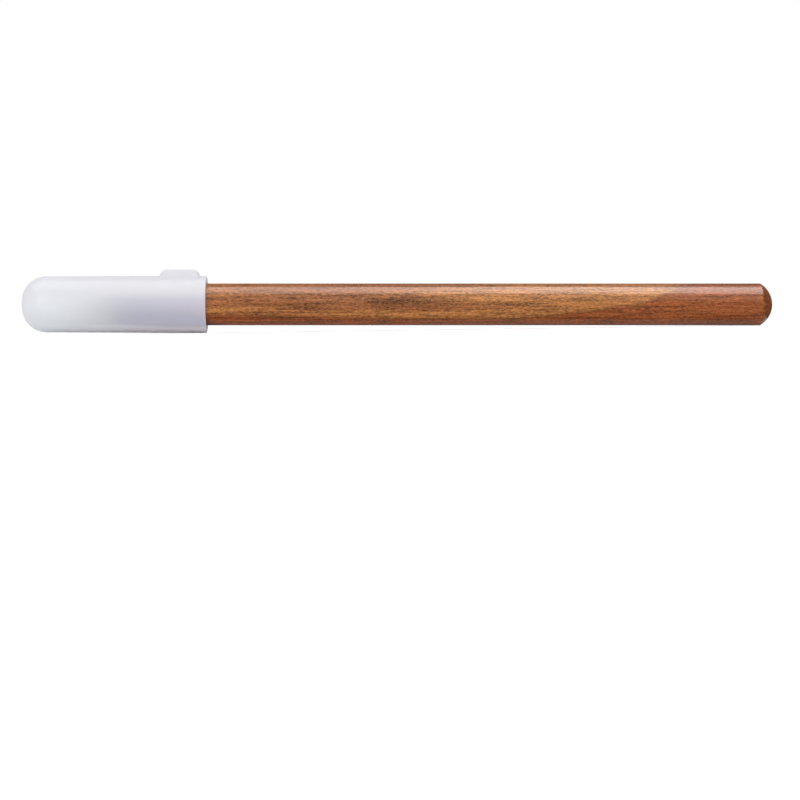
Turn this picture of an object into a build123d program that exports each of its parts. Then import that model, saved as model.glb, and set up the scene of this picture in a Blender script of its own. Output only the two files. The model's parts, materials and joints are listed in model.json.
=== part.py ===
from build123d import *

import os
from math import radians, sqrt, tan

# Inkless pencil with a push-on cap. A lacquered wooden barrel holds a threaded brass insert in its
# tapered front end. A cone of writing alloy, bonded to a threaded stud, screws into that insert and
# clamps a brass ring against the wood. A translucent moulded cap slides over the front of the barrel.
# The pencil lies along X, with the nib towards -X and the cap's anti-roll tab on top. Millimetres.

# Writing nib: a blunt cone
NIB_LENGTH = 9.1
NIB_TIP_RADIUS = 0.52
NIB_TIP_ROUND = 0.3
NIB_BASE_RADIUS = 2.74

# Stud bonded into the nib: a plain head in the nib and a threaded shank, drawn at its outer diameter
STUD_HEAD_RADIUS = 1.25
STUD_HEAD_LENGTH = 3.5
STUD_HEAD_BEVEL = 0.2
STUD_RADIUS = 1.5
STUD_BEVEL = 0.3
THREAD_LENGTH = 3.5

# Brass ring between the nib and the wood: a bevelled flank, then a short land at full radius
COLLAR_WIDTH = 1.15
COLLAR_RADIUS = 3.26
COLLAR_LAND = 0.35
COLLAR_LIP = 0.05
COLLAR_EDGE_ROUND = 0.12

# Threaded insert glued into the barrel
INSERT_RADIUS = 2.3
INSERT_LENGTH = 5.0
INSERT_BEVEL = 0.25
GLUE_GROOVE_WIDTH = 0.8
GLUE_GROOVE_DEPTH = 0.2

# Wooden barrel: a convex front taper up to a crisp shoulder, a straight body and a domed rear end
BARREL_FRONT_RADIUS = 3.2
BARREL_FRONT_BEVEL = 0.08
BARREL_RADIUS = 4.35
BARREL_LENGTH = 139.75
TAPER_LENGTH = 6.3
TAPER_BULGE = 0.1
DOME_HEIGHT = 2.5
BORE_RUNOUT = 0.35
DRILL_POINT_ANGLE = 118.0

# The wood is sanded a little slimmer under the cap, from the shoulder to just past the cap's mouth
CAP_EASING = 0.03
EASING_PAST_CAP = 0.5

# Cap: a pocket round the nib, a seat on the taper, a gripping stretch and a wider skirt at the mouth
CAP_NOSE_WALL = 1.5
CAP_NOSE_CUT = 0.36
CAP_NOSE_ROUND = 1.2
CAP_SKIRT_WALL = 1.24
CAP_DRAFT = 0.12
CAP_SEAT_LENGTH = 1.66
CAP_GRIP_LENGTH = 6.35
CAP_SKIRT_LENGTH = 9.75
CAP_RIM_BEVEL = 0.25
CAP_MOUTH_BEVEL = 0.15

# Anti-roll tab on the skirt
TAB_LENGTH = 8.4
TAB_WIDTH = 6.0
TAB_HEIGHT = 1.3
TAB_CORNER = 1.25
TAB_EDGE_ROUND = 0.35
TAB_SETBACK = 1.35

# Clearances, on the radius or along the axis
BOND_GAP = 0.02
THREAD_GAP = 0.03
COLLAR_BORE_GAP = 0.05
CAP_GRIP_GAP = 0.02
CAP_SEAT_GAP = 0.05
CAP_SKIRT_GAP = 0.34
NIB_TIP_GAP = 0.65

# Stations along the axis, from the nib's tip towards the rear
collar_front = NIB_LENGTH
barrel_front = collar_front + COLLAR_WIDTH
shoulder = barrel_front + TAPER_LENGTH
barrel_rear = barrel_front + BARREL_LENGTH
dome_edge = barrel_rear - DOME_HEIGHT
stud_end = barrel_front + THREAD_LENGTH
insert_rear = barrel_front + INSERT_LENGTH
grip_rear = shoulder + CAP_GRIP_LENGTH
cap_mouth = grip_rear + CAP_SKIRT_LENGTH
easing_end = cap_mouth + EASING_PAST_CAP

# The pocket leaves room for the nib to be unscrewed to the end of its thread with the cap on
pocket_front = -(THREAD_LENGTH + NIB_TIP_GAP)
cap_nose = pocket_front - CAP_NOSE_WALL

# Radii that follow from the wood and the stud
shoulder_radius = BARREL_RADIUS - CAP_EASING
insert_bore_radius = STUD_RADIUS + THREAD_GAP
grip_radius = BARREL_RADIUS + CAP_GRIP_GAP
skirt_radius = BARREL_RADIUS + CAP_SKIRT_GAP
cap_mouth_radius = skirt_radius + CAP_SKIRT_WALL
cap_nose_radius = cap_mouth_radius - CAP_DRAFT


def turned(*outline):
    """Solid turned about the pencil's axis from edges that close a half profile of (station, radius)."""
    return revolve(Plane.XZ * make_face(outline), Axis.X)


def turned_polygon(*corners):
    """Solid turned from a half profile with straight sides."""
    return turned(Polyline(*corners, close=True))


def drilled(front, rear, radius):
    """Plain round plug along the axis, to cut a bore or stand as a shank."""
    return turned_polygon((front, 0), (front, radius), (rear, radius), (rear, 0))


def ring_edge(piece, station, radius):
    """The circular edge of a turned piece nearest to a station and radius."""
    rings = piece.edges().filter_by(GeomType.CIRCLE)
    return min(rings, key=lambda ring: abs(ring.arc_center.X - station) + abs(ring.radius - radius))


def taper_arc():
    """Outline of the wood's front taper, from the collar to the shoulder."""
    return SagittaArc((barrel_front, BARREL_FRONT_RADIUS), (shoulder, shoulder_radius), TAPER_BULGE)


def make_nib():
    cone = turned_polygon(
        (0, 0), (0, NIB_TIP_RADIUS), (NIB_LENGTH, NIB_BASE_RADIUS), (NIB_LENGTH, 0)
    )
    cone = fillet(ring_edge(cone, 0, NIB_TIP_RADIUS), NIB_TIP_ROUND)
    socket_front = NIB_LENGTH - STUD_HEAD_LENGTH - BOND_GAP
    return cone - drilled(socket_front, NIB_LENGTH, STUD_HEAD_RADIUS + BOND_GAP)


def make_nib_stud():
    head_front = NIB_LENGTH - STUD_HEAD_LENGTH
    stud = drilled(head_front, collar_front, STUD_HEAD_RADIUS)
    stud += drilled(collar_front, stud_end, STUD_RADIUS)
    stud = chamfer(ring_edge(stud, head_front, STUD_HEAD_RADIUS), STUD_HEAD_BEVEL)
    return chamfer(ring_edge(stud, stud_end, STUD_RADIUS), STUD_BEVEL)


def make_collar_ring():
    bore = STUD_RADIUS + COLLAR_BORE_GAP
    land_front = barrel_front - COLLAR_LAND
    ring = turned_polygon(
        (collar_front, bore),
        (collar_front, NIB_BASE_RADIUS + COLLAR_LIP),
        (land_front, COLLAR_RADIUS),
        (barrel_front, COLLAR_RADIUS),
        (barrel_front, bore),
    )
    return fillet(ring_edge(ring, land_front, COLLAR_RADIUS), COLLAR_EDGE_ROUND)


def make_socket_insert():
    insert = drilled(barrel_front, insert_rear, INSERT_RADIUS)
    insert -= drilled(barrel_front, insert_rear, insert_bore_radius)
    insert = chamfer(ring_edge(insert, barrel_front, insert_bore_radius), INSERT_BEVEL)
    insert = chamfer(ring_edge(insert, insert_rear, INSERT_RADIUS), INSERT_BEVEL)
    groove_front = (barrel_front + insert_rear - GLUE_GROOVE_WIDTH) / 2
    groove_rear = groove_front + GLUE_GROOVE_WIDTH
    groove = drilled(groove_front, groove_rear, INSERT_RADIUS)
    groove -= drilled(groove_front, groove_rear, INSERT_RADIUS - GLUE_GROOVE_DEPTH)
    return insert - groove


def make_barrel():
    dome_radius = (BARREL_RADIUS**2 + DOME_HEIGHT**2) / (2 * DOME_HEIGHT)
    wood = turned(
        Line((barrel_front, 0), (barrel_front, BARREL_FRONT_RADIUS)),
        taper_arc(),
        Line((shoulder, shoulder_radius), (easing_end, BARREL_RADIUS)),
        Line((easing_end, BARREL_RADIUS), (dome_edge, BARREL_RADIUS)),
        RadiusArc((dome_edge, BARREL_RADIUS), (barrel_rear, 0), dome_radius),
        Line((barrel_rear, 0), (barrel_front, 0)),
    )
    wood = chamfer(ring_edge(wood, barrel_front, BARREL_FRONT_RADIUS), BARREL_FRONT_BEVEL)
    bore_radius = INSERT_RADIUS + BOND_GAP
    bore_rear = insert_rear + BORE_RUNOUT
    point_depth = bore_radius / tan(radians(DRILL_POINT_ANGLE / 2))
    return wood - turned_polygon(
        (barrel_front, 0),
        (barrel_front, bore_radius),
        (bore_rear, bore_radius),
        (bore_rear + point_depth, 0),
    )


def make_cap_core():
    """The hollow of the cap: ball-ended nib pocket, conical seat, grip, short lead and skirt."""
    taper = taper_arc()
    seat_front = taper.position_at(taper.length - CAP_SEAT_LENGTH, PositionMode.LENGTH)
    pocket_radius = seat_front.Y + CAP_SEAT_GAP
    ball_edge = (pocket_front + pocket_radius, pocket_radius)
    return turned(
        RadiusArc((pocket_front, 0), ball_edge, pocket_radius),
        Polyline(
            ball_edge,
            (seat_front.X, pocket_radius),
            (shoulder, grip_radius),
            (grip_rear, grip_radius),
            (grip_rear + skirt_radius - grip_radius, skirt_radius),
            (cap_mouth, skirt_radius),
            (cap_mouth, 0),
            (pocket_front, 0),
        ),
    )


def make_tab():
    """Rounded pad along the top of the skirt, its flanks rooted half way into the wall."""
    rear = cap_mouth - TAB_SETBACK
    front = rear - TAB_LENGTH
    flank_foot = sqrt(cap_nose_radius**2 - (TAB_WIDTH / 2) ** 2)
    root = flank_foot - CAP_SKIRT_WALL / 2
    top = cap_mouth_radius + TAB_HEIGHT
    side = make_face(Polyline((front, root), (front, top), (rear, top), (rear, root), close=True))
    corner = min(TAB_CORNER, TAB_HEIGHT)
    side = fillet(side.vertices().group_by(Axis.Y)[-1], corner)
    tab = extrude(Plane.XZ * side, TAB_WIDTH / 2, both=True)
    flanks = tab.faces().filter_by(Axis.Y)
    exposed_edges = [edge for flank in flanks for edge in flank.edges().sort_by(Axis.Z)[1:]]
    return fillet(exposed_edges, TAB_EDGE_ROUND)


def make_cap():
    """Shell with a ball nose, its tip cut flat and blended, then a drafted wall down to the mouth."""
    nose_centre = cap_nose - CAP_NOSE_CUT + cap_nose_radius
    flat_radius = sqrt(cap_nose_radius**2 - (cap_nose_radius - CAP_NOSE_CUT) ** 2)
    shell = turned(
        Line((cap_nose, 0), (cap_nose, flat_radius)),
        RadiusArc((cap_nose, flat_radius), (nose_centre, cap_nose_radius), cap_nose_radius),
        Polyline(
            (nose_centre, cap_nose_radius), (cap_mouth, cap_mouth_radius), (cap_mouth, 0), (cap_nose, 0)
        ),
    )
    shell = fillet(ring_edge(shell, cap_nose, flat_radius), CAP_NOSE_ROUND)
    shell = chamfer(ring_edge(shell, cap_mouth, cap_mouth_radius), CAP_RIM_BEVEL)
    shell += make_tab()
    shell -= make_cap_core()
    return chamfer(ring_edge(shell, cap_mouth, skirt_radius), CAP_MOUTH_BEVEL)


pieces = {
    "barrel": make_barrel(),
    "socket_insert": make_socket_insert(),
    "collar_ring": make_collar_ring(),
    "nib": make_nib(),
    "nib_stud": make_nib_stud(),
    "cap": make_cap(),
}

# The capped pencil stands centred over the origin, with the cap's rim on the ground
to_origin = Pos(-(cap_nose + barrel_rear) / 2, 0, cap_mouth_radius)

os.makedirs("parts", exist_ok=True)
for name, piece in pieces.items():
    export_step(to_origin * piece, f"parts/{name}.step")
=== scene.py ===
"""Dresses an inkless pencil: lacquered wooden barrel, brass collar, black alloy nib and frosted cap."""

import json
import math

import bpy
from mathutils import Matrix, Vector


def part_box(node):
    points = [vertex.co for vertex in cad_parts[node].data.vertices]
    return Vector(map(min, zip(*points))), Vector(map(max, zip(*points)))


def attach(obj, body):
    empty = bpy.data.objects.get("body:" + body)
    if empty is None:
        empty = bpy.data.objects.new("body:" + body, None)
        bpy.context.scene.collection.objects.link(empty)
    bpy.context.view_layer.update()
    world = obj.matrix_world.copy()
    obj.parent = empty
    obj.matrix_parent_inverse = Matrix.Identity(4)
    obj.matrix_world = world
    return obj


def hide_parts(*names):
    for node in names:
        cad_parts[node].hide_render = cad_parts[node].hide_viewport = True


bl_info = {
    "name": "Inkless pencil",
    "version": (1, 0, 0),
    "blender": (4, 5, 0),
    "location": "3D View > Sidebar > Pencil",
    "description": "Models the pieces of a capped inkless pencil and sets the stage for its picture",
    "category": "Object",
}

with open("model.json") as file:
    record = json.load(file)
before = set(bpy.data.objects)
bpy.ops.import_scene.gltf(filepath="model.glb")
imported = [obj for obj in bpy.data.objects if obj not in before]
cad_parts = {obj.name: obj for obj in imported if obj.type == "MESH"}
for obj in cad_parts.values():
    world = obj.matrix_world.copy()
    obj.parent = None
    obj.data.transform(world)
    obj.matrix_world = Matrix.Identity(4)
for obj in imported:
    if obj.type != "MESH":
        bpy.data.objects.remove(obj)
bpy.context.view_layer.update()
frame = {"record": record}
MM = 0.001

# The wooden body is the record's one mount, which gives its radius and the height of the pencil's axis
GRIP = frame["record"]["mounts"][0]
AXIS_Z = GRIP["pos_m"][2]
BARREL_RADIUS = GRIP["dims"]["r_mm"] * MM

# Stations along X where the pieces begin and end
NIB_TIP, COLLAR_FRONT = (corner.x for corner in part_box("nib"))
BARREL_FRONT, BARREL_REAR = (corner.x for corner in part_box("barrel"))
STUD_FRONT, STUD_REAR = (corner.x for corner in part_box("nib_stud"))
INSERT_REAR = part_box("socket_insert")[1].x
CAP_NOSE, CAP_MOUTH = (corner.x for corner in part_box("cap"))
TAB_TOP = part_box("cap")[1].z

# How finely the pieces are divided, and how near two points count as one
SEGMENTS = 96
SMALL_SEGMENTS = 64
ARC_STEP = math.radians(12)
TAPER_STEPS = 10
TAB_END_STEPS = 7
TAB_EDGE_STEPS = 4
MERGE_DISTANCE = 1e-7
NEAR = 0.01 * MM
SMOOTH_ANGLE = math.radians(38)

# Fine roundings of the turned tip, and its thread's form
NIB_BASE_ROUND = 0.04 * MM
STUD_HEAD_ROUND = 0.2 * MM
SHANK_ROUND = 0.05 * MM
CREST_GAP = 0.01 * MM
CORE_GAP = 0.05 * MM
THREAD_DEPTH_PER_PITCH = 0.61


def length(name, description, default_mm):
    """A length that a user may change, given in millimetres and kept in metres."""
    return bpy.props.FloatProperty(
        name=name, description=description, default=default_mm * MM, unit="LENGTH", precision=5
    )


def colour(name, description, default):
    """A scene-linear colour that a user may change."""
    return bpy.props.FloatVectorProperty(
        name=name, description=description, default=default, subtype="COLOR", size=3, min=0, max=1
    )


def angle(name, description, degrees):
    """An angle that a user may change, given in degrees and kept in radians."""
    return bpy.props.FloatProperty(
        name=name, description=description, default=math.radians(degrees), subtype="ANGLE", unit="ROTATION"
    )


def glow(name, description, default):
    """A radiance, where 1 is white."""
    return bpy.props.FloatProperty(name=name, description=description, default=default, min=0)


def share(name, description, default):
    """A plain share between 0 and 1."""
    return bpy.props.FloatProperty(
        name=name, description=description, default=default, subtype="FACTOR", min=0, max=1
    )


class BarrelSettings(bpy.types.PropertyGroup):
    """Shape and finish of the wooden barrel."""

    front_radius: length("Front radius", "Radius of the wood where the collar sits", 3.2)
    taper_length: length("Taper length", "From the collar to the shoulder", 6.3)
    taper_bulge: length("Taper bulge", "How far the taper stands out from a straight cone", 0.1)
    easing: length("Easing", "How much slimmer the wood is under the cap, on the radius", 0.03)
    easing_past_cap: length("Easing past the cap", "How far the slimmer stretch reaches past the cap", 0.5)
    dome_height: length("Dome height", "Height of the rounded rear end", 2.5)
    edge_round: length("Edge round", "Rounding of the turned edges", 0.1)
    bore_runout: length("Bore run-out", "Depth of the bore behind the insert", 0.35)
    drill_point: angle("Drill point", "Full angle of the bore's conical end", 118)
    # Golden layers of the grain; the same colour paints the lift low on the side and the highlight on the
    # dome's edge
    golden_wood_and_painted_light: colour("Golden wood", "Pale golden layers", (0.445, 0.185, 0.06))
    brown_wood: colour("Brown wood", "Plain brown ground", (0.325, 0.12, 0.045))
    red_wood: colour("Red wood", "Reddish layers", (0.295, 0.084, 0.028))
    dark_vein: colour("Dark vein", "Smoky streaks", (0.11, 0.048, 0.026))
    # The dome's darker end grain, darkened further as painted shade of the dome's unlit rear
    end_grain_and_painted_shade: colour("End grain", "Wood of the dome", (0.17, 0.052, 0.022))
    taper_wood: colour("Taper wood", "Dark red wood of the taper", (0.07, 0.019, 0.011))
    pore: colour("Pore", "Short dark pores", (0.085, 0.022, 0.006))
    lacquer: share("Lacquer roughness", "Roughness of the satin lacquer", 0.22)


class TipSettings(bpy.types.PropertyGroup):
    """Shape and finish of the nib, its stud, the collar and the threaded insert."""

    nib_tip_radius: length("Nib tip radius", "Radius of the blunt tip before it is rounded", 0.52)
    nib_tip_round: length("Nib tip round", "Rounding of the tip", 0.3)
    nib_base_radius: length("Nib base radius", "Radius of the nib at the collar", 2.74)
    collar_lip: length("Collar lip", "How far the collar's front stands out from the nib", 0.05)
    collar_radius: length("Collar radius", "Radius of the collar's land", 3.26)
    collar_land: length("Collar land", "Width of the collar's straight band", 0.35)
    collar_edge_round: length("Collar edge round", "Rounding of the collar's edges", 0.06)
    stud_radius: length("Stud radius", "Outer radius of the thread", 1.5)
    stud_head_radius: length("Stud head radius", "Radius of the part bonded into the nib", 1.25)
    stud_bevel: length("Stud bevel", "Bevel at the end of the thread", 0.3)
    thread_pitch: length("Thread pitch", "Advance of the thread in one turn", 0.5)
    insert_radius: length("Insert radius", "Outer radius of the threaded insert", 2.3)
    insert_bevel: length("Insert bevel", "Bevels of the insert", 0.25)
    glue_groove_width: length("Glue groove width", "Width of the groove round the insert", 0.8)
    glue_groove_depth: length("Glue groove depth", "Depth of the groove round the insert", 0.2)
    bond_gap: length("Bond gap", "Room for adhesive round the insert and the stud's head", 0.02)
    thread_gap: length("Thread gap", "Room round the stud in the insert", 0.03)
    collar_gap: length("Collar gap", "Room round the stud in the collar", 0.05)
    alloy: colour("Alloy", "Matt black writing alloy", (0.018, 0.0175, 0.021))
    brass: colour("Brass", "Pale satin brass", (0.86, 0.74, 0.50))
    collar_roughness: share("Collar roughness", "Roughness of the satin collar", 0.34)
    insert_roughness: share("Insert roughness", "Roughness of the insert", 0.22)
    stud_roughness: share("Stud roughness", "Roughness of the stud", 0.2)


class CapSettings(bpy.types.PropertyGroup):
    """Shape and finish of the push-on cap."""

    nose_flat: length("Nose flat", "Radius of the flat at the tip of the nose", 0.83)
    nose_radius: length("Nose radius", "Radius of the wall behind the round nose", 5.81)
    mouth_radius: length("Mouth radius", "Radius of the wall at the mouth", 5.93)
    rim_round: length("Rim round", "Rounding of the rim's outer edge", 0.25)
    mouth_round: length("Mouth round", "Rounding of the rim's inner edge", 0.15)
    skirt_gap: length("Skirt gap", "Room round the wood inside the skirt", 0.34)
    skirt_length: length("Skirt length", "Depth of the wide skirt from the mouth", 9.75)
    grip_gap: length("Grip gap", "Room round the wood where the cap grips", 0.02)
    seat_length: length("Seat length", "Length of the cone that sits on the taper", 1.66)
    seat_gap: length("Seat gap", "Room at the front of the seat", 0.05)
    nose_wall: length("Nose wall", "Thickness of the nose in front of the pocket", 1.5)
    tab_length: length("Tab length", "Length of the anti-roll tab", 8.0)
    tab_setback: length("Tab setback", "From the tab to the cap's mouth", 1.6)
    tab_corner: length("Tab corner", "Rounding of the tab's ends", 1.3)
    tab_fullness: share("Tab fullness", "Shape of that rounding, 0.5 for a round one", 0.42)
    tab_edge_round: length("Tab edge round", "Rounding of the tab's long edges", 0.35)
    tab_half_angle: angle("Tab half angle", "From the top of the cap to the tab's flank", 30)
    # The nose's milky tone also paints the reflection along the cap's top
    nose_white_and_painted_top: colour("Nose white", "Milky plastic of the solid nose and tab", (0.915, 0.915, 0.95))
    pocket_white: colour("Pocket white", "Milky plastic of the wall round the nib", (0.92, 0.95, 1.0))
    skirt_white: colour("Skirt white", "Milky plastic of the wall round the wood", (0.87, 0.88, 1.0))
    # Painted light: a whiter tone that lifts the shade low on the nose
    lower_nose_painted_light: colour("Under white", "Milky plastic of the lower nose", (0.955, 0.972, 1.0))
    # Painted light: a greyer, less blue tone along the skirt's lowest line
    foot_painted_light: colour("Foot white", "Milky plastic along the skirt's lowest line", (0.93, 0.9, 0.9))
    # The nose's opacity also makes the painted reflection along the cap's top denser
    nose_and_painted_top_opacity: share("Nose opacity", "How milky the solid nose and tab are", 0.88)
    pocket_opacity: share("Pocket opacity", "How milky the thick wall round the nib is", 0.54)
    skirt_opacity: share("Skirt opacity", "How milky the thin wall round the wood is", 0.48)
    glow_through: share("Glow through", "How much light the plastic spreads inwards", 0.25)
    gloss: share("Gloss", "Strength of the plastic's smooth skin", 0.16)


class StageSettings(bpy.types.PropertyGroup):
    """Light, floor and camera of the picture."""

    floor: colour("Floor", "Pale floor", (0.86, 0.86, 0.86))
    floor_size: length("Floor size", "Length of the floor's sides", 12000)
    fill: glow("Fill", "Even light from all round", 0.7)
    panel_height: length("Panel height", "Height of the light panels over the pencil", 420)
    panel_length: length("Panel length", "Length of the light panels along the pencil", 900)
    panel_spacing: length("Panel spacing", "Height between one panel and the next", 20)
    softbox_low: angle("Softbox low", "Where the softbox begins, up from the camera's level", 20)
    softbox_high: angle("Softbox high", "Where the softbox ends", 65)
    softbox_glow: glow("Softbox glow", "Light of the softbox on all surfaces", 1.26)
    overhead_low: angle("Overhead low", "Where the overhead panel begins", 62)
    overhead_high: angle("Overhead high", "Where the overhead panel ends", 110)
    overhead_gloss: glow("Overhead gloss", "Light of the overhead panel in gloss alone", 9)
    side_angle: angle("Side angle", "From the camera round to the panel beside it, towards the nib", 29)
    side_distance: length("Side distance", "From the pencil to the panel beside the camera", 1000)
    side_width: length("Side width", "Width of the panel beside the camera", 280)
    side_height: length("Side height", "Height of the panel beside the camera", 550)
    side_gloss: glow("Side gloss", "Light of the panel beside the camera in gloss alone", 18)
    card_distance: length("Card distance", "From the pencil to the cards that stand round it", 1800)
    card_gap: length("Card gap", "From the pencil's axis to the dark card on the floor", 3)
    card_black: share("Card black", "Shade of the dark cards", 0.02)
    card_grey: share("Card grey", "Shade of the card behind the pencil", 0.4)
    camera_aside: length("Camera aside", "Place of the camera along the pencil", 0.573)
    camera_distance: length("Camera distance", "From the camera to the pencil's axis", 581)
    camera_dip: angle("Camera dip", "How far the camera looks down", 1.957)
    camera_lens: bpy.props.FloatProperty(
        name="Lens", description="Focal length of the camera in millimetres", default=125.83, min=1
    )


# Mesh tools


def leave_edit_mode():
    if bpy.context.object is not None and bpy.context.object.mode == "EDIT":
        bpy.ops.object.mode_set(mode="OBJECT")


def deselect_all():
    leave_edit_mode()
    bpy.ops.object.select_all(action="DESELECT")


def activate(piece):
    """Makes a piece the only selected one."""
    deselect_all()
    bpy.context.view_layer.objects.active = piece
    piece.select_set(True)


def rounded(corners):
    """Points of an outline from corners of (station, radius, rounding): a rounding becomes an arc."""
    points = []
    for place, (station, radius, rounding) in enumerate(corners):
        here = Vector((station, radius))
        if rounding == 0:
            points.append(here)
            continue
        back = (Vector(corners[place - 1][:2]) - here).normalized()
        ahead = (Vector(corners[(place + 1) % len(corners)][:2]) - here).normalized()
        half_angle = back.angle(ahead) / 2
        turn = math.pi - 2 * half_angle
        centre = here + (back + ahead).normalized() * (rounding / math.sin(half_angle))
        reach = rounding / math.tan(half_angle)
        start = here + back * reach - centre
        end = here + ahead * reach - centre
        steps = max(2, math.ceil(turn / ARC_STEP))
        for step in range(steps + 1):
            points.append(centre + rounding * start.slerp(end, step / steps))
    return points


def arc(centre_station, centre_radius, radius, start, end):
    """Points of an arc in an outline, between two angles from the +X direction."""
    steps = max(2, math.ceil(abs(end - start) / (ARC_STEP / 2)))
    turns = [start + (end - start) * step / steps for step in range(steps + 1)]
    return [
        Vector((centre_station + radius * math.cos(turn), centre_radius + radius * math.sin(turn)))
        for turn in turns
    ]


def extrude_ring(before, after):
    """Carries the selected ring on to the next point of an outline."""
    bpy.ops.mesh.extrude_region_move(TRANSFORM_OT_translate={"value": (after.x - before.x, 0, 0)})
    if after.y < MERGE_DISTANCE:
        bpy.ops.mesh.merge(type="CENTER")
        return
    growth = after.y / before.y
    bpy.ops.transform.resize(value=(1, growth, growth), center_override=(after.x, 0, AXIS_Z))


def turned(name, points, segments=SEGMENTS):
    """A piece turned about the pencil's axis, by a ring that is carried along an outline's points. The
    outline ends on the axis or comes back to its own start."""
    deselect_all()
    starts_on_axis = points[0].y < MERGE_DISTANCE
    first = 1 if starts_on_axis else 0
    bpy.ops.mesh.primitive_circle_add(
        vertices=segments, radius=points[first].y,
        location=(points[first].x, 0, AXIS_Z), rotation=(0, math.pi / 2, 0),
    )
    piece = bpy.context.object
    piece.name = name
    bpy.ops.object.transform_apply(location=True, rotation=True, scale=True)
    bpy.ops.object.mode_set(mode="EDIT")
    bpy.ops.mesh.select_mode(type="VERT")
    bpy.ops.mesh.select_all(action="SELECT")
    for before, after in zip(points[first:], points[first + 1:]):
        extrude_ring(before, after)
    if starts_on_axis:
        leave_edit_mode()
        for vertex in piece.data.vertices:
            vertex.select = vertex.index < segments
        bpy.ops.object.mode_set(mode="EDIT")
        extrude_ring(points[1], points[0])
    tidy_mesh(piece)
    return piece


def tidy_mesh(piece):
    """Merges doubles and turns all faces outwards."""
    activate(piece)
    bpy.ops.object.mode_set(mode="EDIT")
    bpy.ops.mesh.select_all(action="SELECT")
    bpy.ops.mesh.remove_doubles(threshold=MERGE_DISTANCE)
    bpy.ops.mesh.normals_make_consistent(inside=False)
    leave_edit_mode()


def select_parts(piece, kind, wanted):
    """Goes into edit mode with the faces or edges selected whose corners pass the test."""
    bpy.ops.object.mode_set(mode="EDIT")
    bpy.ops.mesh.select_mode(type=kind)
    bpy.ops.mesh.select_all(action="DESELECT")
    leave_edit_mode()
    vertices = piece.data.vertices
    for part in piece.data.polygons if kind == "FACE" else piece.data.edges:
        part.select = wanted(*(vertices[index].co for index in part.vertices))
    bpy.ops.object.mode_set(mode="EDIT")


def add_modifier(piece, kind, **settings):
    """Adds a modifier with its settings and applies it."""
    activate(piece)
    bpy.ops.object.modifier_add(type=kind)
    modifier = piece.modifiers[-1]
    for name, value in settings.items():
        setattr(modifier, name, value)
    bpy.ops.object.modifier_apply(modifier=modifier.name)


def combine(piece, tool, operation):
    """Joins a piece with another or trims it to that, which is used up."""
    add_modifier(piece, "BOOLEAN", object=tool, operation=operation, solver="EXACT")
    bpy.data.objects.remove(tool)
    tidy_mesh(piece)


def dress(piece, finish, body, node):
    """Smooths a finished piece, gives it its material and puts it in its node's place."""
    activate(piece)
    bpy.ops.object.shade_smooth_by_angle(angle=SMOOTH_ANGLE)
    add_modifier(piece, "WEIGHTED_NORMAL", keep_sharp=True)
    piece.data.materials.clear()
    piece.data.materials.append(finish)
    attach(piece, body)
    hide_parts(node)


# Shader tools


class Socket:
    """A node's output. Python arithmetic on it adds Math nodes."""

    def __init__(self, nodes, socket):
        self.nodes = nodes
        self.socket = socket

    def maths(self, operation, *values):
        """A Math node on the given values."""
        return self.nodes.add("ShaderNodeMath", dict(enumerate(values)), operation=operation)

    def __add__(self, other):
        return self.maths("ADD", self, other)

    __radd__ = __add__

    def __sub__(self, other):
        return self.maths("SUBTRACT", self, other)

    def __rsub__(self, other):
        return self.maths("SUBTRACT", other, self)

    def __mul__(self, other):
        return self.maths("MULTIPLY", self, other)

    __rmul__ = __mul__

    def or_more(self, other):
        """The greater of two values."""
        return self.maths("MAXIMUM", self, other)

    def sine(self):
        return self.maths("SINE", self)

    def output(self, name):
        """Another output of the same node."""
        return Socket(self.nodes, self.socket.node.outputs[name])


class Nodes:
    """The nodes of a material or a world."""

    def __init__(self, owner):
        owner.use_nodes = True
        self.tree = owner.node_tree
        self.tree.nodes.clear()

    def add(self, kind, inputs=None, output=0, **settings):
        """Adds a node, its settings first and then the values or links of its inputs. Gives an output."""
        node = self.tree.nodes.new(kind)
        for name, value in settings.items():
            setattr(node, name, value)
        for name, value in (inputs or {}).items():
            if isinstance(value, Socket):
                self.tree.links.new(value.socket, node.inputs[name])
            else:
                node.inputs[name].default_value = value
        return Socket(self, node.outputs[output]) if node.outputs else None

    def millimetres(self):
        """Object coordinates in millimetres, measured from the pencil's axis."""
        place = self.add("ShaderNodeTexCoord").output("Object")
        return self.add(
            "ShaderNodeMapping",
            {"Vector": place, "Location": (0, 0, -AXIS_Z / MM), "Scale": (1 / MM, 1 / MM, 1 / MM)},
        )

    def split(self, vector):
        """The three parts of a vector."""
        parts = self.add("ShaderNodeSeparateXYZ", {"Vector": vector})
        return parts, parts.output("Y"), parts.output("Z")

    def noise(self, vector, stretch, detail=2.0, roughness=0.5):
        """Noise with its own number of waves per millimetre along each axis."""
        stretched = self.add("ShaderNodeMapping", {"Vector": vector, "Scale": stretch})
        return self.add(
            "ShaderNodeTexNoise",
            {"Vector": stretched, "Scale": 1.0, "Detail": detail, "Roughness": roughness},
        )

    def rise(self, value, low, high):
        """Smooth step from 0 at low to 1 at high, or down if low is the greater."""
        return self.add(
            "ShaderNodeMapRange", {"Value": value, "From Min": low, "From Max": high},
            interpolation_type="SMOOTHSTEP",
        )

    def band(self, value, low, high, soft):
        """1 between two values, with soft edges."""
        return self.rise(value, low - soft, low + soft) * self.rise(value, high + soft, high - soft)

    def mix(self, amount, first, second):
        """Mix of two colours. Their sockets come after those of the node's other kinds."""
        return self.add(
            "ShaderNodeMix", {0: amount, 6: as_rgba(first), 7: as_rgba(second)},
            output=2, data_type="RGBA",
        )

    def bump(self, height, strength, distance):
        inputs = {"Height": height, "Strength": strength, "Distance": distance}
        return self.add("ShaderNodeBump", inputs)

    def surface(self, shader):
        self.add("ShaderNodeOutputMaterial", {"Surface": shader})


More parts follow.
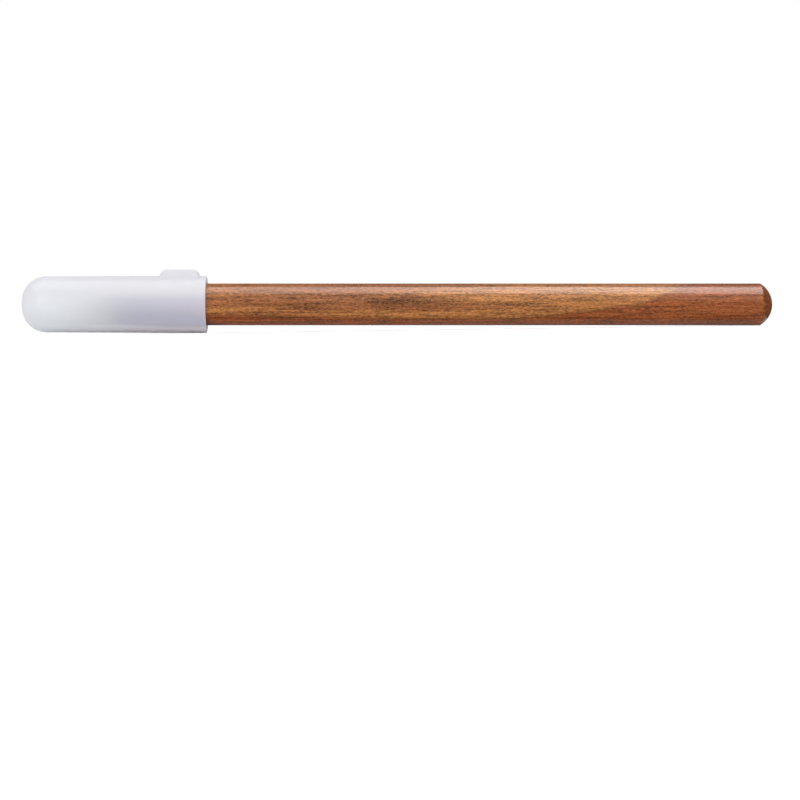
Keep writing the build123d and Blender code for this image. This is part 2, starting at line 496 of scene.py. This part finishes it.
def as_rgba(shade):
    """A colour with its alpha, or a socket as it is."""
    return shade if isinstance(shade, Socket) else (*shade, 1)


def new_finish(name):
    """A new material and its empty nodes."""
    material = bpy.data.materials.new(name)
    return material, Nodes(material)


def lacquered_wood(settings):
    """Solid wood under satin lacquer: golden and red layers, fine figure, smoky streaks and short pores.
    Stations and heights are in millimetres, from the middle of the capped pencil and from its axis."""
    material, wood = new_finish("satin_lacquered_wood")
    grain = wood.millimetres()
    x, _, z = wood.split(grain)
    sway = wood.noise(grain, (0.022, 0.13, 0.13), detail=3) - 0.5
    bands = wood.noise(grain, (0.018, 0.34, 0.34), detail=3, roughness=0.6)
    fibres = wood.noise(grain, (0.10, 2.0, 2.0), detail=4, roughness=0.6)
    figure = wood.noise(grain, (1.3, 3.0, 3.0), detail=3, roughness=0.75)
    pores = wood.noise(grain, (0.6, 4.4, 4.4), detail=2)

    # Brown ground with more gold at the middle and less under the cap; the gold low on the side is painted
    # light that lifts the lower side's shade
    painted_fill_low_side = wood.band(z + sway, -2.4, -0.9, 0.7)
    under_cap = wood.rise(x, -37, -48)
    gold_and_painted_lift = wood.band(x, 16, 60, 16) * 0.17 + painted_fill_low_side * 0.16 - under_cap * 0.14
    golden = wood.rise(bands + gold_and_painted_lift, 0.44, 0.70)
    shade = wood.mix(golden, settings.brown_wood, settings.golden_wood_and_painted_light)

    # A red layer bows along the lower side and climbs over the rear end, slowly and then steeply
    bow_middle = 10
    bow_curve = 0.00038
    bow_depth = 3.0
    climb_station = 51
    slow_climb = 0.11
    steep_climb = 0.42
    from_middle = x - bow_middle
    lower_edge = from_middle * from_middle * bow_curve - bow_depth
    climb = x - climb_station
    rear_edge = (climb * slow_climb).or_more(climb * steep_climb)
    red_edge = lower_edge.or_more(rear_edge) + sway * 2 + (fibres - 0.5) * 1.6 - z
    shade = wood.mix(wood.rise(red_edge, -0.35, 0.45) * 0.9, shade, settings.red_wood)
    shade = wood.mix(wood.band(red_edge, -0.1, 0.2, 0.2) * 0.3, shade, settings.dark_vein)

    # Two smoky streaks along the middle, broken up by the figure, and one thin line that falls rearwards
    smoke = wood.noise(grain, (0.09, 0.7, 0.7), detail=3, roughness=0.6)
    broken = wood.rise(figure, 0.66, 0.42)
    first_streak = wood.band(x, -21, 9, 5) * wood.band(z + sway, -0.3, 1.5, 0.6)
    second_streak = wood.band(x, 18, 32, 5) * wood.band(z + sway, -0.9, 0.6, 0.5) * 0.8
    streaks = (first_streak + second_streak) * wood.rise(smoke, 0.36, 0.54)
    line_front = 9
    line_fall = 0.03
    line_height = z + (x - line_front) * line_fall + sway * 2
    line = wood.band(x, line_front, 35, 4) * wood.band(line_height, 0.25, 0.55, 0.16)
    shade = wood.mix(streaks * (broken * 0.42 + 0.22), shade, settings.dark_vein)
    shade = wood.mix(line * (broken * 0.6 + 0.2), shade, settings.dark_vein)

    # Dark wood on the taper, which reaches back low on the side, then the dome's end grain with painted
    # shade, behind a thin golden line that is a painted highlight on the dome's edge
    shoulder = (BARREL_FRONT + settings.taper_length) / MM
    shoulder_height = 2.1
    shoulder_fall = 0.32
    front_edge = shoulder_height - (x - shoulder) * shoulder_fall + sway * 2 + (fibres - 0.5) * 2
    shade = wood.mix(wood.rise(front_edge - z, -0.4, 1.2) * 0.8, shade, settings.taper_wood)
    shade = wood.mix(wood.rise(x, shoulder + 0.1, shoulder - 0.4) * 0.85, shade, settings.taper_wood)
    dome_edge = (BARREL_REAR - settings.dome_height) / MM
    shade = wood.mix(wood.rise(x, dome_edge - 0.2, dome_edge + 0.9) * 0.85, shade, settings.end_grain_and_painted_shade)
    # Painted highlight: a thin golden line along the dome's edge, where the edge would catch the light
    shade = wood.mix(wood.band(x, dome_edge - 0.2, dome_edge, 0.1) * 0.3, shade, settings.golden_wood_and_painted_light)

    # The figure lightens and darkens, and the pores are short dark dashes
    tone = wood.add("ShaderNodeMapRange", {
        "Value": figure * 0.6 + fibres * 0.4,
        "From Min": 0.38,
        "From Max": 0.62,
        "To Min": 0.4,
        "To Max": 1.66,
    })
    toned = wood.add("ShaderNodeVectorMath", {0: shade, "Scale": tone}, operation="SCALE")
    dashes = wood.rise(pores, 0.56, 0.68) * wood.rise(fibres, 0.6, 0.45)
    shade = wood.mix(dashes * 0.6, toned, settings.pore)

    wood.surface(wood.add("ShaderNodeBsdfPrincipled", {
        "Base Color": shade,
        "Roughness": figure * 0.2 + 0.4,
        "Specular IOR Level": 0.0,
        "Coat Weight": wood.rise(x, -45, 70) * 0.32 + 0.42,
        "Coat Roughness": settings.lacquer,
        "Coat IOR": 1.4,
        "Normal": wood.bump(figure * 0.5 - dashes * 0.5, 0.3, 0.03 * MM),
    }))
    return material


def matt_alloy(settings):
    """Sintered writing alloy: matt, near black, with fine grain and faint turning marks."""
    material, alloy = new_finish("sintered_black_alloy")
    place = alloy.millimetres()
    x, _, _ = alloy.split(place)
    speckle = alloy.noise(place, (7, 7, 7), detail=4, roughness=0.7)
    cloud = alloy.noise(place, (0.7, 0.7, 0.7), detail=3)
    wobble = alloy.noise(place, (0.5, 0.5, 0.5))
    rings = (x * 42 + wobble * 6).sine()
    tip = NIB_TIP / MM
    worn = alloy.rise(x, tip + 1.1, tip + 0.1)
    light = alloy.rise(speckle * 0.6 + cloud * 0.4, 0.42, 0.68) * 0.55 + worn * 0.3
    worn_alloy = tuple(1.9 * part for part in settings.alloy)
    shade = alloy.mix(light, settings.alloy, worn_alloy)
    alloy.surface(alloy.add("ShaderNodeBsdfPrincipled", {
        "Base Color": shade,
        "Roughness": speckle * 0.2 + (0.5 - worn * 0.12),
        "Specular IOR Level": 0.2,
        "Normal": alloy.bump(speckle * 0.7 + rings * 0.15, 0.3, 0.015 * MM),
    }))
    return material


def turned_brass(name, settings, roughness):
    """Pale turned brass with fine tool rings and a faint tarnish."""
    material, brass = new_finish(name)
    place = brass.millimetres()
    x, _, _ = brass.split(place)
    tarnish = brass.noise(place, (1.1, 1.1, 1.1), detail=4, roughness=0.6)
    wobble = brass.noise(place, (0.8, 0.8, 0.8))
    rings = (x * 120 + wobble * 5).sine()
    tarnish_tint = (0.72, 0.66, 0.55)
    dull_brass = tuple(part * tint for part, tint in zip(settings.brass, tarnish_tint))
    shade = brass.mix(brass.rise(tarnish, 0.46, 0.74) * 0.6, settings.brass, dull_brass)
    brass.surface(brass.add("ShaderNodeBsdfPrincipled", {
        "Base Color": shade,
        "Metallic": 1.0,
        "Roughness": tarnish * 0.16 + roughness,
        "Normal": brass.bump(rings, 0.08, 0.006 * MM),
    }))
    return material


def milky_plastic(settings, shoulder):
    """Milky moulded plastic: denser where the wall is thick or seen on edge, clearer round the wood. Its
    top band is a painted reflection, and its lower nose and lowest line carry painted light.
    """
    material, plastic = new_finish("milky_plastic")
    place = plastic.millimetres()
    x, _, z = plastic.split(place)
    flow = plastic.noise(place, (0.06, 0.5, 0.5), detail=3)
    haze = plastic.noise(place, (3, 3, 3), detail=3, roughness=0.6)
    nose = CAP_NOSE / MM
    wall = settings.mouth_radius / MM

    # Solid at the nose; denser and whiter along the top as a painted reflection of the overhead panel;
    # thinner round the nib and thinnest round the wood
    painted_top_band = plastic.rise(z, wall * 0.1, wall * 0.5)
    top = painted_top_band * 0.45 + plastic.rise(z, wall * -0.55, wall * 0.4) * 0.55
    solid = 1 - plastic.rise(x + flow * 2, nose + 7, nose + 21) * (1 - top)
    thin = plastic.rise(x, shoulder / MM - 6, shoulder / MM + 0.5)
    shade = plastic.mix(thin, settings.pocket_white, settings.skirt_white)
    shade = plastic.mix(solid, shade, settings.nose_white_and_painted_top)
    opacity = settings.pocket_opacity + thin * (settings.skirt_opacity - settings.pocket_opacity)
    opacity = opacity + solid * (settings.nose_and_painted_top_opacity - opacity)
    edge_on = plastic.add("ShaderNodeLayerWeight", {"Blend": 0.5}).output("Facing")

    # Painted light: whiter low on the nose to lift its shade, and a greyer, less blue tone along the
    # skirt's lowest line for how it is lit
    round_nib = plastic.rise(x, nose + 26, nose + 12)
    shade = plastic.mix(plastic.rise(z, wall * 0.5, wall * -0.1) * round_nib, shade, settings.lower_nose_painted_light)
    foot = plastic.rise(z, wall * -0.6, wall * -0.95) * (1 - round_nib)
    shade = plastic.mix(foot, shade, settings.foot_painted_light)

    body = plastic.add("ShaderNodeBsdfPrincipled", {
        "Base Color": shade,
        "Roughness": haze * 0.12 + 0.4,
        "Specular IOR Level": 0.0,
        "Alpha": opacity + (1 - opacity) * edge_on,
        "Coat Weight": settings.gloss,
        "Coat Roughness": 0.02,
    })
    inwards = plastic.add("ShaderNodeBsdfTranslucent", {"Color": shade})
    shell = plastic.add("ShaderNodeMixShader", {0: settings.glow_through, 1: body, 2: inwards})
    plastic.surface(shell)
    return material


# Pieces


class PENCIL_OT_turn_barrel(bpy.types.Operator):
    """Turns the wooden barrel with its taper, shoulder, dome and front bore"""

    bl_idname = "pencil.turn_barrel"
    bl_label = "Turn the barrel"

    def execute(self, context):
        wood = context.scene.pencil_barrel
        tip = context.scene.pencil_tip
        barrel = turned("wooden_barrel", self.outline(wood, tip))
        dress(barrel, lacquered_wood(wood), "barrel", "barrel")
        return {"FINISHED"}

    def outline(self, wood, tip):
        """From the drill's point out along the bore, then over the taper and the body to the dome."""
        bore = tip.insert_radius + tip.bond_gap
        bore_rear = INSERT_REAR + wood.bore_runout
        drill_tip = bore_rear + bore / math.tan(wood.drill_point / 2)
        shoulder = BARREL_FRONT + wood.taper_length
        shoulder_radius = BARREL_RADIUS - wood.easing
        easing_end = CAP_MOUTH + wood.easing_past_cap
        dome_edge = BARREL_REAR - wood.dome_height
        dome_radius = (BARREL_RADIUS**2 + wood.dome_height**2) / (2 * wood.dome_height)
        dome_centre = BARREL_REAR - dome_radius
        edge = wood.edge_round
        front = rounded([
            (drill_tip, 0, 0), (bore_rear, bore, 0), (BARREL_FRONT, bore, edge),
            (BARREL_FRONT, wood.front_radius, edge), (shoulder, shoulder_radius, 0),
        ])
        taper = []
        for step in range(1, TAPER_STEPS):
            way = step / TAPER_STEPS
            cone_radius = wood.front_radius + (shoulder_radius - wood.front_radius) * way
            # A parabola that is highest half way along
            bulge = 4 * wood.taper_bulge * way * (1 - way)
            taper.append(Vector((BARREL_FRONT + wood.taper_length * way, cone_radius + bulge)))
        body = rounded([
            (shoulder, shoulder_radius, 0), (shoulder + edge, shoulder_radius, 0),
            (easing_end, BARREL_RADIUS, 0), (dome_edge - edge, BARREL_RADIUS, 0),
        ])
        edge_angle = math.atan2(BARREL_RADIUS, dome_edge - dome_centre)
        dome = arc(dome_centre, 0, dome_radius, edge_angle, 0)
        dome[-1].y = 0
        return front[:-1] + taper + body + dome


class PENCIL_OT_fit_insert(bpy.types.Operator):
    """Turns the threaded insert that is glued into the barrel"""

    bl_idname = "pencil.fit_insert"
    bl_label = "Fit the insert"

    def execute(self, context):
        tip = context.scene.pencil_tip
        bore = tip.stud_radius + tip.thread_gap
        bevel = tip.insert_bevel
        edge = bevel / 4
        middle = (BARREL_FRONT + INSERT_REAR) / 2
        groove_front = middle - tip.glue_groove_width / 2
        groove_rear = middle + tip.glue_groove_width / 2
        groove_radius = tip.insert_radius - tip.glue_groove_depth
        insert = turned("threaded_insert", rounded([
            (BARREL_FRONT + bevel, bore, 0), (BARREL_FRONT, bore + bevel, 0),
            (BARREL_FRONT, tip.insert_radius, edge),
            (groove_front, tip.insert_radius, edge), (groove_front, groove_radius, edge),
            (groove_rear, groove_radius, edge), (groove_rear, tip.insert_radius, edge),
            (INSERT_REAR - bevel, tip.insert_radius, 0), (INSERT_REAR, tip.insert_radius - bevel, 0),
            (INSERT_REAR, bore, 0), (BARREL_FRONT + bevel, bore, 0),
        ]), SMALL_SEGMENTS)
        dress(insert, turned_brass("insert_brass", tip, tip.insert_roughness), "barrel", "socket_insert")
        return {"FINISHED"}


class PENCIL_OT_turn_collar(bpy.types.Operator):
    """Turns the brass collar with its bevelled flank and straight land"""

    bl_idname = "pencil.turn_collar"
    bl_label = "Turn the collar"

    def execute(self, context):
        tip = context.scene.pencil_tip
        bore = tip.stud_radius + tip.collar_gap
        land_front = BARREL_FRONT - tip.collar_land
        edge = tip.collar_edge_round
        collar = turned("brass_collar", rounded([
            (COLLAR_FRONT, bore, 0),
            (COLLAR_FRONT, tip.nib_base_radius + tip.collar_lip, edge),
            (land_front, tip.collar_radius, edge),
            (BARREL_FRONT, tip.collar_radius, edge),
            (BARREL_FRONT, bore, 0), (COLLAR_FRONT, bore, 0),
        ]))
        dress(collar, turned_brass("collar_brass", tip, tip.collar_roughness), "collar", "collar_ring")
        return {"FINISHED"}


class PENCIL_OT_turn_nib(bpy.types.Operator):
    """Turns the nib's blunt cone and the threaded stud in its back"""

    bl_idname = "pencil.turn_nib"
    bl_label = "Turn the nib and its stud"

    def execute(self, context):
        tip = context.scene.pencil_tip
        socket = tip.stud_head_radius + tip.bond_gap
        socket_front = STUD_FRONT - tip.bond_gap
        nib = turned("alloy_nib", rounded([
            (NIB_TIP, 0, 0), (NIB_TIP, tip.nib_tip_radius, tip.nib_tip_round),
            (COLLAR_FRONT, tip.nib_base_radius, NIB_BASE_ROUND), (COLLAR_FRONT, socket, 0),
            (socket_front, socket, 0), (socket_front, 0, 0),
        ]))
        dress(nib, matt_alloy(tip), "nib", "nib")
        stud = self.stud(tip)
        dress(stud, turned_brass("stud_brass", tip, tip.stud_roughness), "nib", "nib_stud")
        return {"FINISHED"}

    def stud(self, tip):
        """A plain head and collar seat, and a thread that is trimmed to a bevelled end."""
        pitch = tip.thread_pitch
        crest = tip.stud_radius - CREST_GAP
        root = crest - THREAD_DEPTH_PER_PITCH * pitch
        core = root - CORE_GAP
        bevel = tip.stud_bevel
        overlap = pitch / 3
        thread = self.thread(crest, root, pitch)
        trimmer = turned("thread_trimmer", rounded([
            (BARREL_FRONT - overlap, 0, 0), (BARREL_FRONT - overlap, tip.stud_radius, 0),
            (STUD_REAR - bevel, tip.stud_radius, 0), (STUD_REAR, tip.stud_radius - bevel, 0),
            (STUD_REAR, 0, 0),
        ]), SMALL_SEGMENTS)
        combine(thread, trimmer, "INTERSECT")
        head = tip.stud_head_radius
        stud = turned("threaded_stud", rounded([
            (STUD_FRONT, 0, 0), (STUD_FRONT, head, STUD_HEAD_ROUND), (COLLAR_FRONT, head, 0),
            (COLLAR_FRONT, tip.stud_radius, SHANK_ROUND), (BARREL_FRONT, tip.stud_radius, SHANK_ROUND),
            (BARREL_FRONT, core, 0), (BARREL_FRONT + pitch, core, 0), (BARREL_FRONT + pitch, 0, 0),
        ]), SMALL_SEGMENTS)
        combine(stud, thread, "UNION")
        return stud

    def thread(self, crest, root, pitch):
        """Right-handed thread: one pitch of its profile, screwed about the axis, with square ends."""
        spare_turns = 2
        start = BARREL_FRONT - spare_turns * pitch
        turns = math.ceil((STUD_REAR - start) / pitch) + spare_turns
        root_flat = pitch / 4
        crest_flat = pitch / 8
        crest_start = root_flat + (pitch - root_flat - crest_flat) / 2
        crest_end = crest_start + crest_flat
        profile = [(0, root), (root_flat, root), (crest_start, crest), (crest_end, crest), (pitch, root)]
        deselect_all()
        bpy.ops.mesh.primitive_plane_add(size=pitch, location=(0, 0, AXIS_Z))
        thread = bpy.context.object
        bpy.ops.object.mode_set(mode="EDIT")
        # Shrunk to one point, the plane is where the profile starts
        bpy.ops.mesh.merge(type="CENTER")
        bpy.ops.transform.translate(value=(start, 0, root))
        for (station, radius), (next_station, next_radius) in zip(profile, profile[1:]):
            step = (next_station - station, 0, next_radius - radius)
            bpy.ops.mesh.extrude_region_move(TRANSFORM_OT_translate={"value": step})
        leave_edit_mode()
        add_modifier(
            thread, "SCREW", axis="X", angle=2 * math.pi, screw_offset=pitch, iterations=turns,
            steps=SMALL_SEGMENTS, render_steps=SMALL_SEGMENTS, use_merge_vertices=True,
            merge_threshold=MERGE_DISTANCE,
        )
        bpy.ops.object.transform_apply(location=True, rotation=True, scale=True)
        tidy_mesh(thread)
        for station, outwards in ((BARREL_FRONT - pitch / 2, -1), (STUD_REAR + pitch / 2, 1)):
            bpy.ops.object.mode_set(mode="EDIT")
            bpy.ops.mesh.select_all(action="SELECT")
            bpy.ops.mesh.bisect(
                plane_co=(station, 0, AXIS_Z), plane_no=(outwards, 0, 0), use_fill=True, clear_outer=True,
                threshold=MERGE_DISTANCE,
            )
            leave_edit_mode()
        tidy_mesh(thread)
        return thread


class PENCIL_OT_mould_cap(bpy.types.Operator):
    """Moulds the push-on cap: round nose, stepped bore and the anti-roll tab on its skirt"""

    bl_idname = "pencil.mould_cap"
    bl_label = "Mould the cap"

    def execute(self, context):
        cap = context.scene.pencil_cap
        wood = context.scene.pencil_barrel
        shell = turned("frosted_cap", self.outline(cap, wood))
        self.raise_tab(shell, cap)
        dress(shell, milky_plastic(cap, BARREL_FRONT + wood.taper_length), "cap", "cap")
        return {"FINISHED"}

    def tab_stations(self, cap):
        """Where the tab begins and ends along X."""
        rear = CAP_MOUTH - cap.tab_setback
        return rear - cap.tab_length, rear

    def wall_radius(self, cap, station):
        """Radius of the drafted outer wall."""
        nose_end = CAP_NOSE + cap.nose_radius - cap.nose_flat
        way = (station - nose_end) / (CAP_MOUTH - nose_end)
        return cap.nose_radius + (cap.mouth_radius - cap.nose_radius) * way

    def outline(self, cap, wood):
        """Over the nose and back to the mouth, then in through the skirt, grip, seat and pocket."""
        shoulder = BARREL_FRONT + wood.taper_length
        slope = (BARREL_RADIUS - wood.easing - wood.front_radius) / wood.taper_length
        grip = BARREL_RADIUS + cap.grip_gap
        skirt = BARREL_RADIUS + cap.skirt_gap
        pocket = BARREL_RADIUS - wood.easing - slope * cap.seat_length + 2 * cap.seat_gap
        pocket_front = CAP_NOSE + cap.nose_wall
        seat_front = shoulder - cap.seat_length
        grip_rear = CAP_MOUTH - cap.skirt_length
        arc_radius = cap.nose_radius - cap.nose_flat
        nose = [Vector((CAP_NOSE, 0)), Vector((CAP_NOSE, cap.nose_flat / 2))]
        nose += arc(CAP_NOSE + arc_radius, cap.nose_flat, arc_radius, math.pi, math.pi / 2)
        wall = [Vector((station, self.wall_radius(cap, station))) for station in self.tab_stations(cap)]
        rim = rounded([
            (*wall[-1], 0),
            (CAP_MOUTH, cap.mouth_radius, cap.rim_round), (CAP_MOUTH, skirt, cap.mouth_round),
            (grip_rear + skirt - grip, skirt, 0), (grip_rear, grip, 0), (shoulder, grip, 0),
            (seat_front, pocket, 0),
        ])
        ball = arc(pocket_front + pocket, 0, pocket, math.pi / 2, math.pi)
        ball[-1].y = 0
        return nose + wall[:-1] + rim + ball

    def raise_tab(self, shell, cap):
        """Extrudes the wall's top up to a flat tab, then rounds its ends and its long edges."""
        front, rear = self.tab_stations(cap)
        half_angle = cap.tab_half_angle
        inner = BARREL_RADIUS + cap.skirt_gap + NEAR

        def on_footprint(*corners):
            centre = sum(corners, Vector()) / len(corners)
            height = centre.z - AXIS_Z
            out = math.hypot(centre.y, height)
            aside = math.atan2(abs(centre.y), height)
            return front < centre.x < rear and out > inner and aside < half_angle

        select_parts(shell, "FACE", on_footprint)
        bpy.ops.mesh.extrude_region_move(TRANSFORM_OT_translate={"value": (0, 0, cap.tab_corner)})
        bpy.ops.transform.resize(value=(1, 1, 0), center_override=(0, 0, TAB_TOP))
        leave_edit_mode()

        def on_end(*ends):
            return any(
                all(abs(end.x - station) < NEAR and end.z > TAB_TOP - NEAR for end in ends)
                for station in (front, rear)
            )

        select_parts(shell, "EDGE", on_end)
        bpy.ops.mesh.bevel(offset=cap.tab_corner, segments=TAB_END_STEPS, profile=cap.tab_fullness)
        leave_edit_mode()

        flank = cap.mouth_radius * math.sin(half_angle)
        foot = AXIS_Z + cap.mouth_radius * math.cos(half_angle)
        flank_slack = 0.08 * MM
        foot_slack = 0.1 * MM

        def on_flank(*ends):
            on_side = all(abs(abs(end.y) - flank) < flank_slack for end in ends)
            same_side = ends[0].y * ends[1].y > 0
            above_foot = max(end.z for end in ends) > foot + foot_slack
            along_tab = all(front - NEAR < end.x < rear + NEAR for end in ends)
            return on_side and same_side and above_foot and along_tab

        select_parts(shell, "EDGE", on_flank)
        bpy.ops.mesh.bevel(offset=cap.tab_edge_round, segments=TAB_EDGE_STEPS, profile=0.5)
        tidy_mesh(shell)


# Stage


def studio_floor(settings):
    """Pale floor that shows as white where no shadow lies on it."""
    material, floor = new_finish("studio_floor")
    seen = seen_ray(floor.add("ShaderNodeLightPath"))
    missing = 1 - settings.floor[0] * settings.fill
    diffuse = floor.add("ShaderNodeBsdfDiffuse", {"Color": as_rgba(settings.floor)})
    white = floor.add("ShaderNodeEmission", {"Color": (1, 1, 1, 1), "Strength": seen * missing})
    floor.surface(floor.add("ShaderNodeAddShader", {0: diffuse, 1: white}))
    return material


def seen_ray(path):
    """1 for rays that show the background: straight, mirrored or through the plastic."""
    mirrored = path.output("Is Glossy Ray")
    through = path.output("Is Transmission Ray")
    return path.output("Is Camera Ray").or_more(mirrored.or_more(through))


class PENCIL_OT_set_stage(bpy.types.Operator):
    """Sets the pale floor, the soft light, its cards and the camera"""

    bl_idname = "pencil.set_stage"
    bl_label = "Set the stage"

    def execute(self, context):
        stage = context.scene.pencil_stage
        dome_edge = BARREL_REAR - context.scene.pencil_barrel.dome_height
        slope = math.atan((AXIS_Z - BARREL_RADIUS) / (dome_edge - CAP_MOUTH))
        self.lay_floor(stage, slope)
        self.light_world(context.scene, stage)
        self.hang_panels(stage)
        self.stand_cards(stage, slope)
        self.place_camera(context.scene, stage)
        context.scene.view_settings.view_transform = "Standard"
        return {"FINISHED"}

    def lay_floor(self, stage, slope):
        """The pencil lies on the cap's rim and the edge of its dome, so the floor slopes up a little."""
        deselect_all()
        bpy.ops.mesh.primitive_plane_add(
            size=stage.floor_size, location=(CAP_MOUTH, 0, 0), rotation=(0, -slope, 0)
        )
        floor = bpy.context.object
        floor.name = "floor"
        floor.data.materials.append(studio_floor(stage))

    def light_world(self, scene, stage):
        """Even light from all round, which shows as white."""
        scene.world = bpy.data.worlds.new("studio")
        world = Nodes(scene.world)
        seen = seen_ray(world.add("ShaderNodeLightPath"))
        strength = seen * (1 - stage.fill) + stage.fill
        sky = world.add("ShaderNodeBackground", {"Color": (1, 1, 1, 1), "Strength": strength})
        world.add("ShaderNodeOutputWorld", {"Surface": sky})

    def hang_panels(self, stage):
        """A soft panel lights all. One under it and one beside the camera only show in gloss."""
        height = stage.panel_height + stage.panel_spacing
        self.hang_panel(
            stage, "softbox", height, stage.softbox_low, stage.softbox_high, stage.softbox_glow
        )
        overhead = self.hang_panel(
            stage, "overhead_gloss", stage.panel_height,
            stage.overhead_low, stage.overhead_high, stage.overhead_gloss,
        )
        side_place = (
            -stage.side_distance * math.sin(stage.side_angle),
            -stage.side_distance * math.cos(stage.side_angle),
            stage.side_height / 2,
        )
        side = self.add_panel(
            "side_gloss", side_place, (math.pi / 2, 0, -stage.side_angle),
            stage.side_width, stage.side_height, stage.side_gloss,
        )
        for panel in (overhead, side):
            panel.visible_diffuse = False
            panel.visible_transmission = False

    def hang_panel(self, stage, name, height, low, high, radiance):
        """A level panel overhead that spans two elevations, seen from the pencil."""
        near = -height / math.tan(low)
        far = -height / math.tan(high)
        place = (0, (near + far) / 2, AXIS_Z + height)
        return self.add_panel(name, place, (0, 0, 0), stage.panel_length, far - near, radiance)

    def add_panel(self, name, place, rotation, width, height, radiance):
        """A panel of light that the camera doesn't see."""
        deselect_all()
        bpy.ops.object.light_add(type="AREA", location=place, rotation=rotation)
        panel = bpy.context.object
        panel.name = name
        panel.visible_camera = False
        panel.data.shape = "RECTANGLE"
        panel.data.size = width
        panel.data.size_y = height
        panel.data.energy = radiance * math.pi * width * height
        return panel

    def stand_cards(self, stage, slope):
        """Cards all round, and on the floor before the pencil and behind its rear end. They only show in
        gloss and keep a veil off the lacquer."""
        reach = stage.card_distance
        upright = math.pi / 2
        over_floor = stage.card_gap / 10
        behind_barrel = stage.card_gap / 4
        rear_place = BARREL_REAR + behind_barrel + reach
        lift = over_floor - CAP_MOUTH * math.tan(slope)
        rear_lift = lift + rear_place * math.tan(slope)
        black = stage.card_black
        grey = stage.card_grey
        for name, shade, place, rotation in (
            ("front_card", black, (0, -reach, reach), (upright, 0, 0)),
            ("nose_card", black, (-reach, 0, reach), (upright, 0, upright)),
            ("rear_card", black, (reach, 0, reach), (upright, 0, upright)),
            ("back_card", grey, (0, reach, reach), (upright, 0, 0)),
            ("floor_card", black, (0, -reach - stage.card_gap, lift), (0, -slope, 0)),
            ("rear_floor_card", black, (rear_place, 0, rear_lift), (0, -slope, 0)),
        ):
            matt, nodes = new_finish(name)
            nodes.surface(nodes.add("ShaderNodeBsdfDiffuse", {"Color": (shade, shade, shade, 1)}))
            deselect_all()
            bpy.ops.mesh.primitive_plane_add(size=2 * reach, location=place, rotation=rotation)
            card = bpy.context.object
            card.name = name
            card.data.materials.append(matt)
            card.visible_camera = False
            card.visible_diffuse = False
            card.visible_transmission = False
            card.visible_shadow = False

    def place_camera(self, scene, stage):
        """Before the pencil, looking down a little."""
        deselect_all()
        bpy.ops.object.camera_add(
            location=(stage.camera_aside, -stage.camera_distance, AXIS_Z),
            rotation=(math.pi / 2 - stage.camera_dip, 0, 0),
        )
        camera = bpy.context.object
        camera.data.lens = stage.camera_lens
        camera.data.clip_start = stage.camera_distance / 100
        scene.camera = camera


class PENCIL_PT_pieces(bpy.types.Panel):
    """Lists the pencil's pieces and their settings"""

    bl_idname = "PENCIL_PT_pieces"
    bl_label = "Inkless pencil"
    bl_space_type = "VIEW_3D"
    bl_region_type = "UI"
    bl_category = "Pencil"

    def draw(self, context):
        for operator in OPERATORS:
            self.layout.operator(operator.bl_idname)
        for name, group in SETTINGS.items():
            box = self.layout.box()
            for field in group.__annotations__:
                box.prop(getattr(context.scene, name), field)


SETTINGS = {
    "pencil_barrel": BarrelSettings,
    "pencil_tip": TipSettings,
    "pencil_cap": CapSettings,
    "pencil_stage": StageSettings,
}
OPERATORS = (
    PENCIL_OT_turn_barrel,
    PENCIL_OT_fit_insert,
    PENCIL_OT_turn_collar,
    PENCIL_OT_turn_nib,
    PENCIL_OT_mould_cap,
    PENCIL_OT_set_stage,
)
CLASSES = (*SETTINGS.values(), *OPERATORS, PENCIL_PT_pieces)


def register():
    for item in CLASSES:
        bpy.utils.register_class(item)
    for name, group in SETTINGS.items():
        setattr(bpy.types.Scene, name, bpy.props.PointerProperty(type=group))


def unregister():
    for name in SETTINGS:
        delattr(bpy.types.Scene, name)
    for item in reversed(CLASSES):
        bpy.utils.unregister_class(item)


def main():
    register()
    bpy.ops.pencil.turn_barrel()
    bpy.ops.pencil.fit_insert()
    bpy.ops.pencil.turn_collar()
    bpy.ops.pencil.turn_nib()
    bpy.ops.pencil.mould_cap()
    bpy.ops.pencil.set_stage()


if __name__ == "__main__":
    main()
